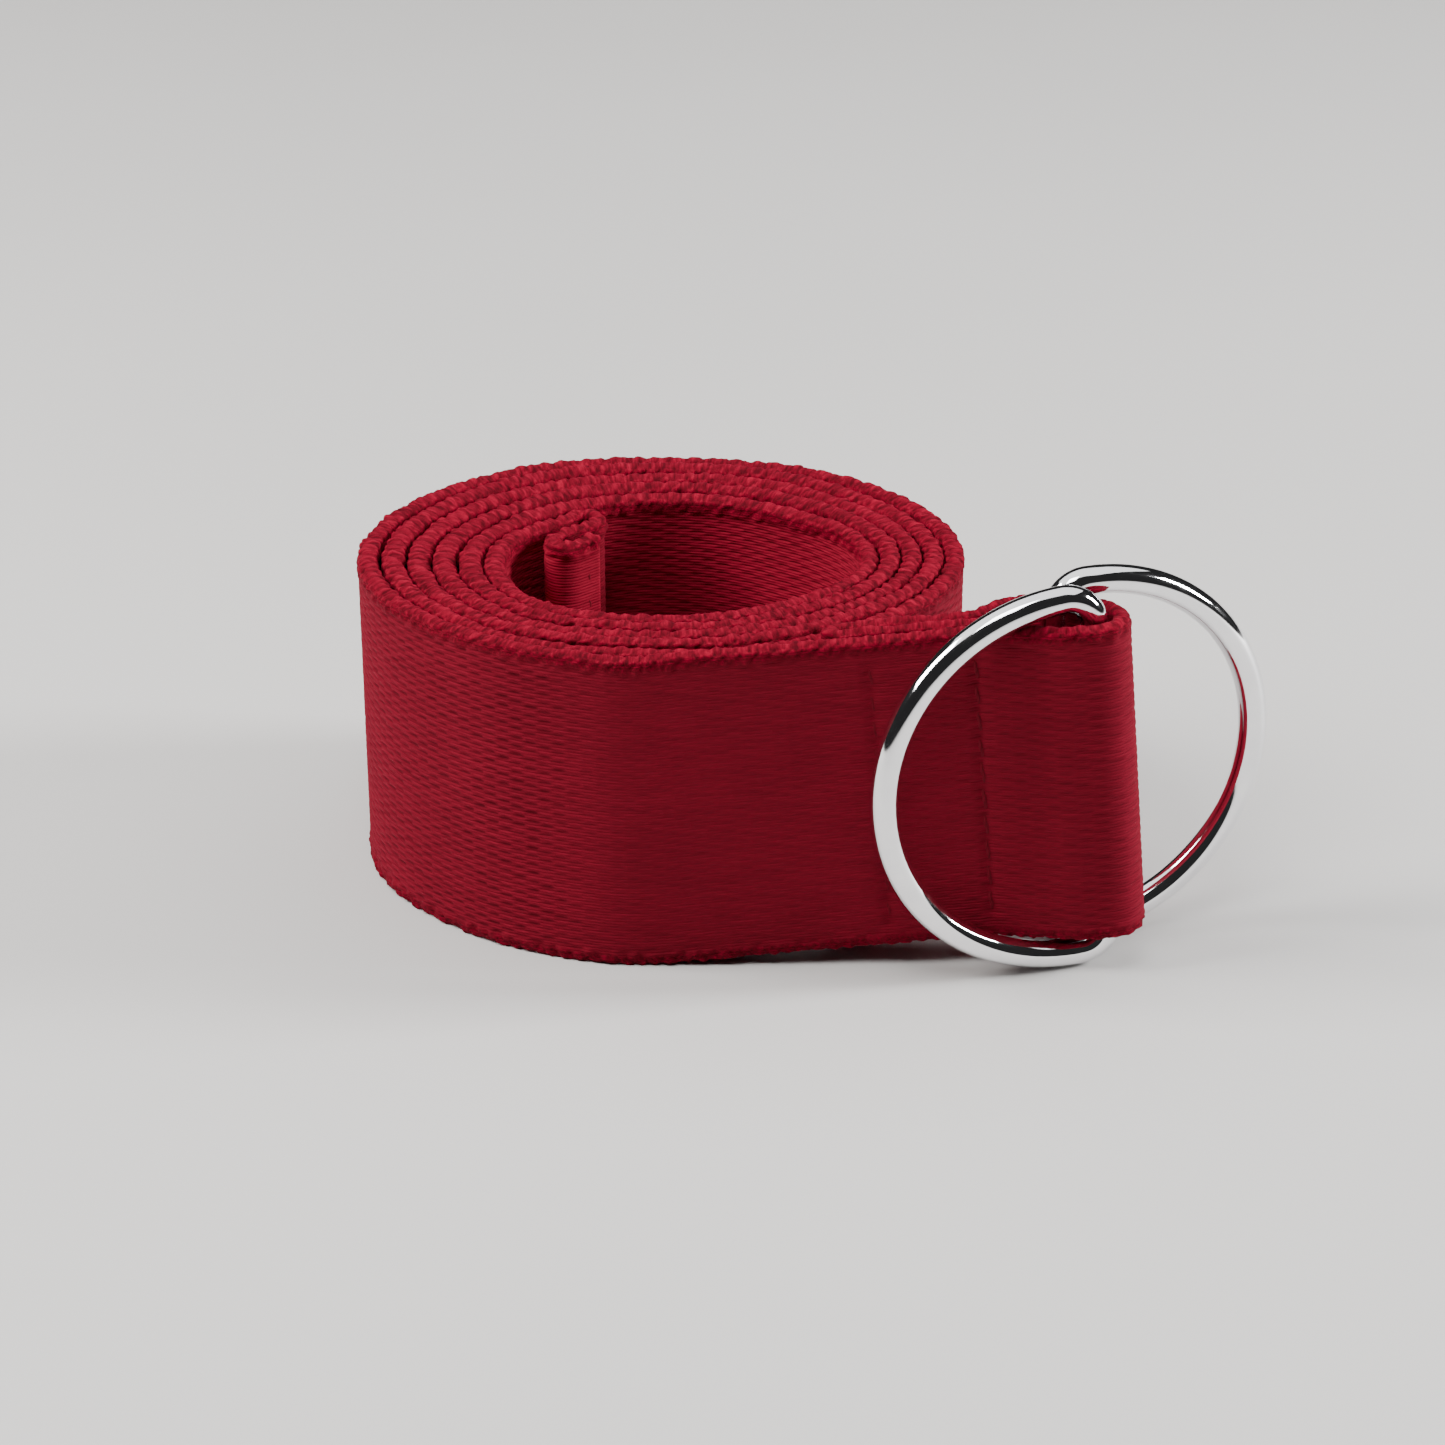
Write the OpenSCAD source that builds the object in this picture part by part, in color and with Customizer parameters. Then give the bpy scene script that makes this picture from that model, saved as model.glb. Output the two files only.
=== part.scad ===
// Stretching strap: one length of cotton webbing, coiled on its edge, with two
// D-rings held in a sewn loop at its outer end. Millimetres, +Z up.
// The origin is the middle of the bottom of the whole strap's box.

/* [Webbing] */
// Width of the webbing
webbing_width = 38; // [34:0.5:38.5]
// Thickness of the webbing
webbing_thickness = 1.9; // [1.4:0.1:1.95]

/* [Coil] */
// Reach of the outer turn from the coil's centre: right, back, left, front
reach_sides = [35.7, 30.1, 34.8, 28.8]; // [28:0.1:38]
// Reach of the outer turn at the corners: back right, back left, front left, front right
reach_corners = [32.8, 32.5, 30.9, 31.4]; // [28:0.1:38]
// Step from turn to turn at the sides: right, back, left, front
pitch_sides = [2.5, 2.95, 3.05, 2.14]; // [2.1:0.05:3.2]
// Step from turn to turn at the corners: back right, back left, front left, front right
pitch_corners = [3.05, 3.35, 2.2, 2.4]; // [2.1:0.05:3.4]
// Turns from the hem to the place where the lead leaves the coil
coil_turns = 5.235; // [4.2:0.005:5.25]
// Direction from the coil's centre in which the lead leaves it, in degrees
lead_leaves_at = 247; // [242:1:252]

/* [Hem] */
// Length of the folded hem at the inner end
hem_length = 8.5; // [7:0.5:9]
// Inward tilt of the hem off the line of the coil, in degrees
hem_tilt = 8; // [6:1:14]
// Distance from layer to layer in the hem
hem_layer_pitch = 3.1; // [2.4:0.1:3.2]

/* [Ring loop] */
// Length of the lead, from where it lifts to the bar of the front ring
lead_length = 52; // [48:1:56]
// Straight run of the outer turn before the soft bend into the lead
bend_run = 4.5; // [4:0.5:6]
// Radius of the soft bend where the lead leaves the coil
lead_bend_radius = 9; // [7:0.5:12]
// Length of the end that is turned under and sewn behind the lead
flap_length = 15; // [12:1:18]
// Distance from layer to layer in the sewn flap
flap_layer_pitch = 2.05; // [2:0.05:2.2]
// Free room between the wire of a ring and the webbing round it
wire_clearance = 0.5; // [0.45:0.05:0.6]

/* [D-rings] */
// Diameter of the wire
wire_diameter = 3.2; // [2.8:0.1:3.4]
// Radius of the round of a ring, to the middle of its wire
ring_radius = 21.7; // [21.2:0.1:22.5]
// Radius of the two corners, to the middle of the wire
ring_corner_radius = 3.6; // [3.2:0.1:3.8]
// Swing of the front ring out of the line of the lead, in degrees
front_ring_swing = 15.5; // [15.5:0.5:20]
// Direction in which the rear ring points, in degrees from +X
rear_ring_swing = 20; // [14:1:40]

/* [Sewing] */
// Diameter of the sewing thread
thread_diameter = 0.5; // [0.4:0.05:0.7]
// Length of one stitch
stitch_length = 3.2; // [2.5:0.1:4]
// Distance of the first and last stitch from the webbing's edges
stitch_margin = 3; // [2:0.5:5]

/* [Hidden] */

// Outline steps: degrees round the coil, degrees round a fold, and facets of a wire
coil_step = 6;
fold_step = 15;
wire_facets = 32;
arc_facets = 120;
thread_facets = 24;

half_thickness = webbing_thickness / 2;
wire_radius = wire_diameter / 2;
ring_corner_z = ring_radius - ring_corner_radius;
ring_reach = ring_radius + ring_corner_radius;
fold_radius = hem_layer_pitch / 2;
mid_height = webbing_width / 2;

// Points are [x, y]; a direction is an angle in degrees.
function along(angle, distance) = distance * [cos(angle), sin(angle)];

// Points on an arc that starts at a point with a heading and turns through an angle.
function arc_centre(start, heading, radius, turn) =
    start + along(heading + sign(turn) * 90, radius);
function arc_points(start, heading, radius, turn) =
    let (centre = arc_centre(start, heading, radius, turn))
    let (steps = ceil(abs(turn) / fold_step))
    [for (i = [1 : steps])
        centre + along(heading - sign(turn) * 90 + turn * i / steps, radius)];

// Smooth value round the coil from four side values and four corner values.
function eighth(sides, corners, i) =
    let (k = i - 8 * floor(i / 8))
    k % 2 == 0 ? sides[k / 2] : corners[(k - 1) / 2];
function round_coil(sides, corners, angle) =
    let (u = angle / 45, i = floor(u), f = u - i)
    let (a = eighth(sides, corners, i - 1), b = eighth(sides, corners, i))
    let (c = eighth(sides, corners, i + 1), d = eighth(sides, corners, i + 2))
    b + f / 2 * (c - a + f * (2 * a - 5 * b + 4 * c - d + f * (3 * (b - c) + d - a)));

// Middle line of the coil; the angle grows outwards and ends where the lead leaves.
function coil_point(angle) =
    let (turns_in = (lead_leaves_at - angle) / 360)
    let (reach = round_coil(reach_sides, reach_corners, angle))
    let (pitch = round_coil(pitch_sides, pitch_corners, angle))
    along(angle, reach - turns_in * pitch);
function coil_heading(angle) =
    let (ahead = coil_point(angle + 0.5) - coil_point(angle - 0.5))
    atan2(ahead[1], ahead[0]);

coil_start = lead_leaves_at - 360 * coil_turns;
coil_steps = ceil(360 * coil_turns / coil_step);
coil_line = [for (i = [0 : coil_steps])
    coil_point(coil_start + 360 * coil_turns * i / coil_steps)];

// Hem: the inner end is folded twice, first back along the coil, then forward again, each
// fold a little shorter than the one round it.
hem_shortening = 2.6;
hem_out = coil_heading(coil_start) + 180 - hem_tilt;
hem_root = coil_line[0];
hem_fold_1 = hem_root + along(hem_out, hem_length);
hem_back = hem_fold_1 + along(hem_out - 90, hem_layer_pitch);
hem_fold_2 = hem_back - along(hem_out, hem_length - hem_shortening);
hem_forward = hem_fold_2 + along(hem_out - 90, hem_layer_pitch);
hem_end = hem_forward + along(hem_out, hem_length - 2 * hem_shortening);
hem_line = concat(
    [hem_end, hem_forward],
    arc_points(hem_forward, hem_out + 180, fold_radius, -180),
    [hem_back],
    arc_points(hem_back, hem_out, fold_radius, 180)
);

// Run and soft bend into the lead, then a short straight on which the lead's lift begins.
bend_heading = coil_heading(lead_leaves_at);
bend_start = coil_point(lead_leaves_at) + along(bend_heading, bend_run);
bend_line = concat(
    [bend_start],
    arc_points(bend_start, bend_heading, lead_bend_radius, -bend_heading)
);
bend_end = bend_line[len(bend_line) - 1];
lift_overlap = 3.5;
lift_x = bend_end[0] + lift_overlap;
lead_y = bend_end[1];

// The lead rises until the front ring stands on the floor beside the coil.
lift_base = lead_length - ring_corner_radius * cos(front_ring_swing);
lift_angle = asin((ring_radius + wire_radius) / norm([mid_height, lift_base]))
    - atan2(mid_height, lift_base);

// Bars of the rings, in the lead's own frame: x along the lead, y as in the coil's.
seam_dip = 0.5;
front_bar_inset = 0.9;
rear_bar_step = [-5.7, 2.9];
front_bar = [lead_length, lead_y + front_bar_inset];
rear_bar = front_bar + rear_bar_step;
rear_bar_drift = mid_height * tan(lift_angle);
loop_radius = wire_radius + wire_clearance + half_thickness;
back_leg_heading = 180 + atan2(-rear_bar_step[1], -rear_bar_step[0] - rear_bar_drift);

// Lead and loop: out along the front, round both bars, back and turned under. The legs of
// the loop run straight for a little way beside the bars, then come down to the seam.
seam_to_rear_bar = 7;
front_leg_run = 4;
front_leg_ease = [0.8, -0.3];
back_leg_run = 1.2;
back_leg_drop_run = 5;
turned_end_past_seam = 1.5;
flap_y = lead_y + seam_dip + 2 * flap_layer_pitch;
seam_x = rear_bar[0] - seam_to_rear_bar;
flap_end_x = seam_x - flap_length;
front_leg_start = front_bar - [front_leg_run, loop_radius];
over_rear_bar = rear_bar + [rear_bar_drift, 0];
back_leg_end = rear_bar + [-rear_bar_drift - back_leg_run, loop_radius];
drop = back_leg_end[1] - flap_y;
lead_line = concat(
    [for (i = [0 : 8]) [seam_x * i / 8, lead_y + seam_dip * (1 - cos(180 * i / 8)) / 2]],
    [front_leg_start - front_leg_ease, front_leg_start],
    [front_bar - [0, loop_radius]],
    arc_points(front_bar - [0, loop_radius], 0, loop_radius, back_leg_heading),
    [over_rear_bar + along(back_leg_heading - 90, loop_radius)],
    arc_points(
        over_rear_bar + along(back_leg_heading - 90, loop_radius),
        back_leg_heading, loop_radius, 180 - back_leg_heading),
    [back_leg_end],
    [for (i = [1 : 6])
        back_leg_end - [back_leg_drop_run * i / 6, drop * (1 - cos(180 * i / 6)) / 2]],
    [[flap_end_x, flap_y]],
    arc_points([flap_end_x, flap_y], 180, flap_layer_pitch / 2, 180),
    [[seam_x + turned_end_past_seam, flap_y - flap_layer_pitch]]
);

// Outline of a ribbon of the webbing's thickness round its middle line.
function side_step(line, i) =
    let (last = len(line) - 1)
    let (ahead = line[min(i + 1, last)] - line[i], behind = line[i] - line[max(i - 1, 0)])
    let (a = norm(ahead) > 0 ? ahead / norm(ahead) : [0, 0])
    let (b = norm(behind) > 0 ? behind / norm(behind) : [0, 0])
    let (mean = (a + b) / norm(a + b))
    let (stretch = norm(a) > 0 && norm(b) > 0 ? 1 / (mean * a) : 1)
    stretch * half_thickness * [-mean[1], mean[0]];
function ribbon(line) = concat(
    [for (i = [0 : len(line) - 1]) line[i] + side_step(line, i)],
    [for (i = [len(line) - 1 : -1 : 0]) line[i] - side_step(line, i)]
);
coil_outline = ribbon(concat(hem_line, coil_line, bend_line, [[lift_x, lead_y]]));
lead_outline = ribbon(lead_line);

// The middle of the whole strap's box, which becomes the origin.
rear_bar_x = lift_x + rear_bar[0] * cos(lift_angle) - mid_height * sin(lift_angle);
left_side = min([for (p = coil_outline) p[0]]);
back_side = max([for (p = coil_outline) p[1]]);
right_side = rear_bar_x + ring_reach * cos(rear_ring_swing) + wire_radius;
front_side = front_bar[1] - ring_reach * sin(front_ring_swing) - wire_radius;
origin_shift = [-(left_side + right_side) / 2, -(back_side + front_side) / 2, 0];

// Places the lead's own frame: lifted about the foot of the strap where it leaves the coil.
module on_lead() {
    translate([lift_x, 0, 0])
        rotate([0, -lift_angle, 0])
            children();
}

// A ring with its bar upright through the origin and its round towards +X. The bar, two
// quarter-circle corners and a half circle meet end to end.
module d_ring() {
    translate([0, 0, -ring_corner_z])
        cylinder(h = 2 * ring_corner_z, r = wire_radius, $fn = wire_facets);
    rotate([90, 0, 0]) {
        translate([ring_corner_radius, ring_corner_z])
            rotate([0, 0, 90])
                wire_arc(ring_corner_radius, 90);
        translate([ring_corner_radius, -ring_corner_z])
            rotate([0, 0, 180])
                wire_arc(ring_corner_radius, 90);
        translate([ring_corner_radius, 0])
            rotate([0, 0, -90])
                wire_arc(ring_radius, 180);
    }
}

// Wire bent to a radius through an angle, starting on +X and turning towards +Y.
module wire_arc(radius, turn) {
    rotate_extrude(angle = turn, $fn = arc_facets)
        translate([radius, 0])
            circle(r = wire_radius, $fn = wire_facets);
}

// One row of stitches across the webbing, on one face, with a plunge to the middle
// at each needle hole. The face is at y = 0 and the webbing lies towards +Y. The
// middle of the thread stands a little above the face.
stitch_stand = 0.05;

module stitch_row(depth) {
    count = floor((webbing_width - 2 * stitch_margin) / stitch_length);
    first = (webbing_width - count * stitch_length) / 2;
    radius = thread_diameter / 2;
    translate([0, -stitch_stand, first])
        cylinder(h = count * stitch_length, r = radius, $fn = thread_facets);
    for (i = [0 : count])
        translate([0, -stitch_stand, first + i * stitch_length])
            rotate([-90, 0, 0])
                cylinder(h = depth + stitch_stand, r = radius, $fn = thread_facets);
}

module webbing() {
    color([0.55, 0.09, 0.15])
    translate(origin_shift) {
        linear_extrude(webbing_width)
            polygon(coil_outline);
        on_lead()
            linear_extrude(webbing_width)
                polygon(lead_outline);
    }
}

module front_d_ring() {
    color([0.80, 0.80, 0.82])
    translate(origin_shift)
        on_lead()
            translate([front_bar[0], front_bar[1], mid_height])
                rotate([0, 0, 180 + front_ring_swing])
                    d_ring();
}

module rear_d_ring() {
    color([0.80, 0.80, 0.82])
    translate(origin_shift)
        translate([rear_bar_x, rear_bar[1], ring_radius + wire_radius])
            rotate([0, 0, rear_ring_swing])
                d_ring();
}

// The loop is sewn through the lead, the turned-under end and the flap, near both ends.
row_from_seam = 0.5;
row_from_fold = 3;
loop_rows = [seam_x - row_from_seam, seam_x - flap_length + row_from_fold];
loop_front_face = lead_y + seam_dip - half_thickness;
loop_depth = flap_layer_pitch + half_thickness;

module loop_seam_needle_thread() {
    color([0.50, 0.07, 0.13])
    translate(origin_shift)
        on_lead()
            for (x = loop_rows)
                translate([x, loop_front_face, 0])
                    stitch_row(loop_depth);
}

module loop_seam_bobbin_thread() {
    color([0.50, 0.07, 0.13])
    translate(origin_shift)
        on_lead()
            for (x = loop_rows)
                translate([x, loop_front_face + 2 * loop_depth, 0])
                    mirror([0, 1, 0])
                        stitch_row(loop_depth);
}

// The hem is sewn through its three layers.
hem_depth = hem_layer_pitch + half_thickness;
hem_row = hem_root + along(hem_out, hem_length / 2);

// The hem's layers lie one after another to the right of its outward direction.
module hem_row_place() {
    translate([hem_row[0], hem_row[1], 0])
        rotate([0, 0, hem_out])
            mirror([0, 1, 0])
                translate([0, -half_thickness, 0])
                    children();
}

module hem_seam_needle_thread() {
    color([0.50, 0.07, 0.13])
    translate(origin_shift)
        hem_row_place()
            stitch_row(hem_depth);
}

module hem_seam_bobbin_thread() {
    color([0.50, 0.07, 0.13])
    translate(origin_shift)
        hem_row_place()
            translate([0, 2 * hem_depth, 0])
                mirror([0, 1, 0])
                    stitch_row(hem_depth);
}

webbing();
front_d_ring();
rear_d_ring();
loop_seam_needle_thread();
loop_seam_bobbin_thread();
hem_seam_needle_thread();
hem_seam_bobbin_thread();
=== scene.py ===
"""Looks of the coiled stretching strap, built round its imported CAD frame.

Lengths are worked out in millimetres, as in the part's source, and turned to metres when a mesh is made.
Heights are along the webbing's width; s is the distance along the webbing from the hem.
"""
import math

import bpy
import numpy as np
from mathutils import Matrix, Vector


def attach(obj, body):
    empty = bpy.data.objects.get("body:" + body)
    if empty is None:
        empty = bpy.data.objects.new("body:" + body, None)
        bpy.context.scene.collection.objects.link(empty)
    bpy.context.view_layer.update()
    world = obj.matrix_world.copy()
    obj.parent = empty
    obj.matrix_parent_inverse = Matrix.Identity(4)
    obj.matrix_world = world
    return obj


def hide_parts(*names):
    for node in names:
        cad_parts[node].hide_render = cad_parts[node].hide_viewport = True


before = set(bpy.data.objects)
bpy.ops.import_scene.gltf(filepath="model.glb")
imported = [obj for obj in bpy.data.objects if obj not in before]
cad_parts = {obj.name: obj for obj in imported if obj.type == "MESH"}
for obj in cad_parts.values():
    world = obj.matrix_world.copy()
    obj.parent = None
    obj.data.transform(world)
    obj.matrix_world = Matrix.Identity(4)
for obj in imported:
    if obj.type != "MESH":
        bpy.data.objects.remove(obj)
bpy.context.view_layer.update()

MM = 0.001

# ---------------------------------------------------------------- sizes, as in the CAD
WIDTH, THICK = 38.0, 1.9
REACH_SIDES, REACH_CORNERS = (35.7, 30.1, 34.8, 28.8), (32.8, 32.5, 30.9, 31.4)
PITCH_SIDES, PITCH_CORNERS = (2.5, 2.95, 3.05, 2.14), (3.05, 3.35, 2.2, 2.4)
COIL_TURNS, LEAVES_AT = 5.235, 247.0
HEM_LENGTH, HEM_TILT, HEM_PITCH, HEM_SHORTENING = 8.5, 8.0, 3.1, 2.6
LEAD_LENGTH, BEND_RUN, BEND_RADIUS, LIFT_OVERLAP = 52.0, 4.5, 9.0, 3.5
FLAP_LENGTH, FLAP_PITCH, CLEARANCE, SEAM_DIP = 15.0, 2.05, 0.5, 0.5
WIRE, RING_RADIUS, RING_CORNER = 1.6, 21.7, 3.6
FRONT_SWING, REAR_SWING = 15.5, 20.0
FRONT_BAR_INSET, REAR_BAR_STEP = 0.9, (5.7, 2.9)
SEAM_TO_REAR_BAR, STITCH, STITCH_MARGIN = 7.0, 3.2, 3.0
# How the loop's two legs run up to the bars and back.
FRONT_LEG_RUN, FRONT_LEG_EASE = 4.0, (0.8, 0.3)
BACK_LEG_RUN, BACK_LEG_DROP_RUN, TURNED_END_PAST_SEAM = 1.2, 5.0, 1.5
ROW_FROM_SEAM, ROW_FROM_FOLD = 0.5, 3.0
MID = WIDTH / 2


def ray(angle, distance):
    """A step of that length in that direction, in degrees."""
    return distance * np.array([math.cos(math.radians(angle)), math.sin(math.radians(angle))])


def arc(start, heading, radius, turn, step=3.0):
    """Points on an arc from a start and heading, through a turn in degrees."""
    side = math.copysign(90, turn)
    centre = start + ray(heading + side, radius)
    n = math.ceil(abs(turn) / step)
    return [centre + ray(heading - side + turn * i / n, radius) for i in range(1, n + 1)]


def round_coil(sides, corners, angle):
    """A value round the coil, smooth between its four sides and four corners."""
    v = [w for pair in zip(sides, corners) for w in pair]
    u = angle / 45
    i = math.floor(u)
    f = u - i
    a, b, c, d = (v[(i + k) % 8] for k in (-1, 0, 1, 2))
    return b + f / 2 * (c - a + f * (2 * a - 5 * b + 4 * c - d + f * (3 * (b - c) + d - a)))


def coil_point(angle):
    """Plan point of the coil's middle line at an angle, which drops by 360 for each turn further in."""
    inward = (LEAVES_AT - angle) / 360 * round_coil(PITCH_SIDES, PITCH_CORNERS, angle)
    return ray(angle, round_coil(REACH_SIDES, REACH_CORNERS, angle) - inward)


def heading_at(angle):
    """Which way the coil's middle line runs there, in degrees."""
    d = coil_point(angle + 0.5) - coil_point(angle - 0.5)
    return math.degrees(math.atan2(d[1], d[0]))


# ---------------------------------------------------------------- the webbing's middle line
def build_line():
    """Plan points of the middle line, from the hem's raw edge to the turned-under end, and key places."""
    start = LEAVES_AT - 360 * COIL_TURNS
    out = heading_at(start) + 180 - HEM_TILT
    root = coil_point(start)
    fold_1 = root + ray(out, HEM_LENGTH)
    back = fold_1 + ray(out - 90, HEM_PITCH)
    fold_2 = back - ray(out, HEM_LENGTH - HEM_SHORTENING)
    forward = fold_2 + ray(out - 90, HEM_PITCH)
    raw = forward + ray(out, HEM_LENGTH - 2 * HEM_SHORTENING)
    hem = [raw, forward, *arc(forward, out + 180, HEM_PITCH / 2, -180), back]
    hem += arc(back, out, HEM_PITCH / 2, 180)
    n = round(360 * COIL_TURNS)
    coil = [coil_point(start + 360 * COIL_TURNS * i / n) for i in range(n + 1)]
    bend_heading = heading_at(LEAVES_AT)
    bend_start = coil[-1] + ray(bend_heading, BEND_RUN)
    bend = [bend_start, *arc(bend_start, bend_heading, BEND_RADIUS, -bend_heading)]
    lift_x, lead_y = bend[-1][0] + LIFT_OVERLAP, bend[-1][1]
    base = LEAD_LENGTH - RING_CORNER * math.cos(math.radians(FRONT_SWING))
    lift = math.asin((RING_RADIUS + WIRE) / math.hypot(MID, base)) - math.atan2(MID, base)
    # The lead and its loop, in the lead's own frame.
    front_bar = np.array([LEAD_LENGTH, lead_y + FRONT_BAR_INSET])
    rear_bar = front_bar + [-REAR_BAR_STEP[0], REAR_BAR_STEP[1]]
    drift = MID * math.tan(lift)
    radius = WIRE + CLEARANCE + THICK / 2
    leg = 180 + math.degrees(math.atan2(-REAR_BAR_STEP[1], REAR_BAR_STEP[0] - drift))
    flap_y = lead_y + SEAM_DIP + 2 * FLAP_PITCH
    seam_x = rear_bar[0] - SEAM_TO_REAR_BAR
    flap_end = seam_x - FLAP_LENGTH
    leg_start = front_bar + [-FRONT_LEG_RUN, -radius]
    eased = leg_start + [-FRONT_LEG_EASE[0], FRONT_LEG_EASE[1]]
    over = rear_bar + [drift, 0]
    leg_end = np.array([rear_bar[0] - drift - BACK_LEG_RUN, rear_bar[1] + radius])
    drop = leg_end[1] - flap_y
    steps = 16
    ease = [(1 - math.cos(math.pi * i / steps)) / 2 for i in range(steps + 1)]
    lead = [[seam_x * i / steps, lead_y + SEAM_DIP * ease[i]] for i in range(steps + 1)]
    lead += [eased, leg_start, front_bar - [0, radius]]
    lead += arc(front_bar - [0, radius], 0, radius, leg)
    lead += [over + ray(leg - 90, radius), *arc(over + ray(leg - 90, radius), leg, radius, 180 - leg)]
    back_x = [leg_end[0] - BACK_LEG_DROP_RUN * i / steps for i in range(steps + 1)]
    lead += [leg_end, *([back_x[i], leg_end[1] - drop * ease[i]] for i in range(1, steps + 1))]
    lead += [[flap_end, flap_y], *arc(np.array([flap_end, flap_y]), 180, FLAP_PITCH / 2, 180)]
    lead += [[seam_x + TURNED_END_PAST_SEAM, flap_y - FLAP_PITCH]]
    lead = [np.array(p) + [lift_x, 0] for p in lead]
    places = {
        "hem_out": out, "hem_row": root + ray(out, HEM_LENGTH / 2), "lift": lift, "lift_x": lift_x,
        "lead_y": lead_y, "front_bar": front_bar, "rear_bar": rear_bar, "seam_x": seam_x,
    }
    parts = [hem, coil, bend, lead]
    return parts, places


def spaced(points, step):
    """The line again with points a step apart, and its length."""
    points = np.array(points, float)
    gaps = np.linalg.norm(np.diff(points, axis=0), axis=1)
    points = points[np.concatenate([[True], gaps > 1e-6])]
    s = np.concatenate([[0], np.cumsum(np.linalg.norm(np.diff(points, axis=0), axis=1))])
    at = np.linspace(0, s[-1], math.ceil(s[-1] / step) + 1)
    return np.stack([np.interp(at, s, points[:, k]) for k in (0, 1)], axis=1), s[-1]


def softened(line, sigma):
    """Eases the line's small kinks, keeping its two ends."""
    reach = int(4 * sigma)
    w = np.exp(-0.5 * (np.arange(-reach, reach + 1) / sigma) ** 2)
    w /= w.sum()
    before, after = 2 * line[0] - line[reach:0:-1], 2 * line[-1] - line[-2:-reach - 2:-1]
    padded = np.concatenate([before, line, after])
    return np.stack([np.convolve(padded[:, k], w, "valid") for k in (0, 1)], axis=1)


LINE_STEP = 0.1
KINK_SOFTENING, BEND_SOFTENING = 5, 24  # in line steps
BEND_BEFORE_LEAD, BEND_REACH = 3.0, 9.0
FAR, PAST_THE_INNER_TURNS = 1e9, 700  # beyond any distance here, and along the webbing
line_parts, AT = build_line()
HEM_S = spaced(line_parts[0], LINE_STEP)[1]
LINE, _ = spaced([p for part in line_parts for p in part], LINE_STEP)
LINE = softened(LINE, KINK_SOFTENING)
LINE_S = np.concatenate([[0], np.cumsum(np.linalg.norm(np.diff(LINE, axis=0), axis=1))])
TOTAL = LINE_S[-1]
LIFT = AT["lift"]


def s_near(point, low, high):
    """Distance along the webbing of its place nearest a plan point."""
    keep = (LINE_S >= low) & (LINE_S <= high)
    d = np.where(keep, np.hypot(*(LINE - point).T), FAR)
    return LINE_S[np.argmin(d)]


# Where the coil's part ends and the lifted lead begins. The bend before it is a soft one.
LEAD_S = s_near([AT["lift_x"], AT["lead_y"]], PAST_THE_INNER_TURNS, TOTAL)
bend_at = LEAD_S - LIFT_OVERLAP - BEND_BEFORE_LEAD
bend_weight = np.exp(-((LINE_S - bend_at) / BEND_REACH) ** 4)[:, None]
LINE = LINE + bend_weight * (softened(LINE, BEND_SOFTENING) - LINE)

rear_bar_x = AT["lift_x"] + AT["rear_bar"][0] * math.cos(LIFT) - MID * math.sin(LIFT)
RING_REACH = RING_RADIUS + RING_CORNER
outer = np.array([coil_point(a) for a in np.arange(LEAVES_AT - 360, LEAVES_AT)])
left_side = outer[:, 0].min() - THICK / 2
back_side = outer[:, 1].max() + THICK / 2
right_side = rear_bar_x + RING_REACH * math.cos(math.radians(REAR_SWING)) + WIRE
front_side = AT["front_bar"][1] - RING_REACH * math.sin(math.radians(FRONT_SWING)) - WIRE
ORIGIN = np.array([-(left_side + right_side) / 2, -(back_side + front_side) / 2, 0])


def smooth(t):
    """An eased step from 0 to 1."""
    t = np.clip(t, 0, 1)
    return t * t * (3 - 2 * t)


def lifted(points, weight):
    """Points moved from the upright plan to the lifted lead, by a weight of 0 to 1."""
    x = points[..., 0] - AT["lift_x"]
    moved = np.stack([
        AT["lift_x"] + x * math.cos(LIFT) - points[..., 2] * math.sin(LIFT),
        points[..., 1],
        x * math.sin(LIFT) + points[..., 2] * math.cos(LIFT),
    ], axis=-1)
    return points + (moved - points) * weight[..., None]


# ---------------------------------------------------------------- random but repeatable
def hashed(*keys):
    """A steady random number from 0 to 1 for each set of whole numbers."""
    total = sum(np.asarray(k, float) * m for k, m in zip(keys, (12.9898, 78.233, 37.719, 93.989)))
    v = np.sin(total) * 43758.5453
    return v - np.floor(v)


def wander(s, scale, seed):
    """A smooth random wave along s, from -1 to 1."""
    u = s / scale
    i = np.floor(u)
    f = smooth(u - i)
    a, b = hashed(i, seed), hashed(i + 1, seed)
    return 2 * (a + (b - a) * f) - 1


# ---------------------------------------------------------------- the weave
WEFT = 1.667  # from one weft to the next, along the webbing
RIB = 1.087  # from one rib to the next, up the webbing
SHIFT = RIB / 3  # how far the ribs step down at each weft
YARN = SHIFT
LEVEL = 0.75  # the height of a rib that counts as the face's own surface
FLOAT_SHARE, STEP_SHARE = 0.66, 0.34  # of each weft, how much of a rib runs level and how much steps down
# Each row of weft turns on an edge: its angle, spread, offset along s, size and slant.
TURNS = (
    (-1.00, 0.62, 0.0, 1.0, 0.9),
    (0.00, 0.62, 0.50 * WEFT, 1.0, 0.9),
    (1.00, 0.62, 0.02 * WEFT, 1.0, 0.9),
    (-1.95, 0.62, 0.52 * WEFT, 0.80, 0.4),
    (1.95, 0.62, 0.48 * WEFT, 0.80, 0.4),
)


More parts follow.
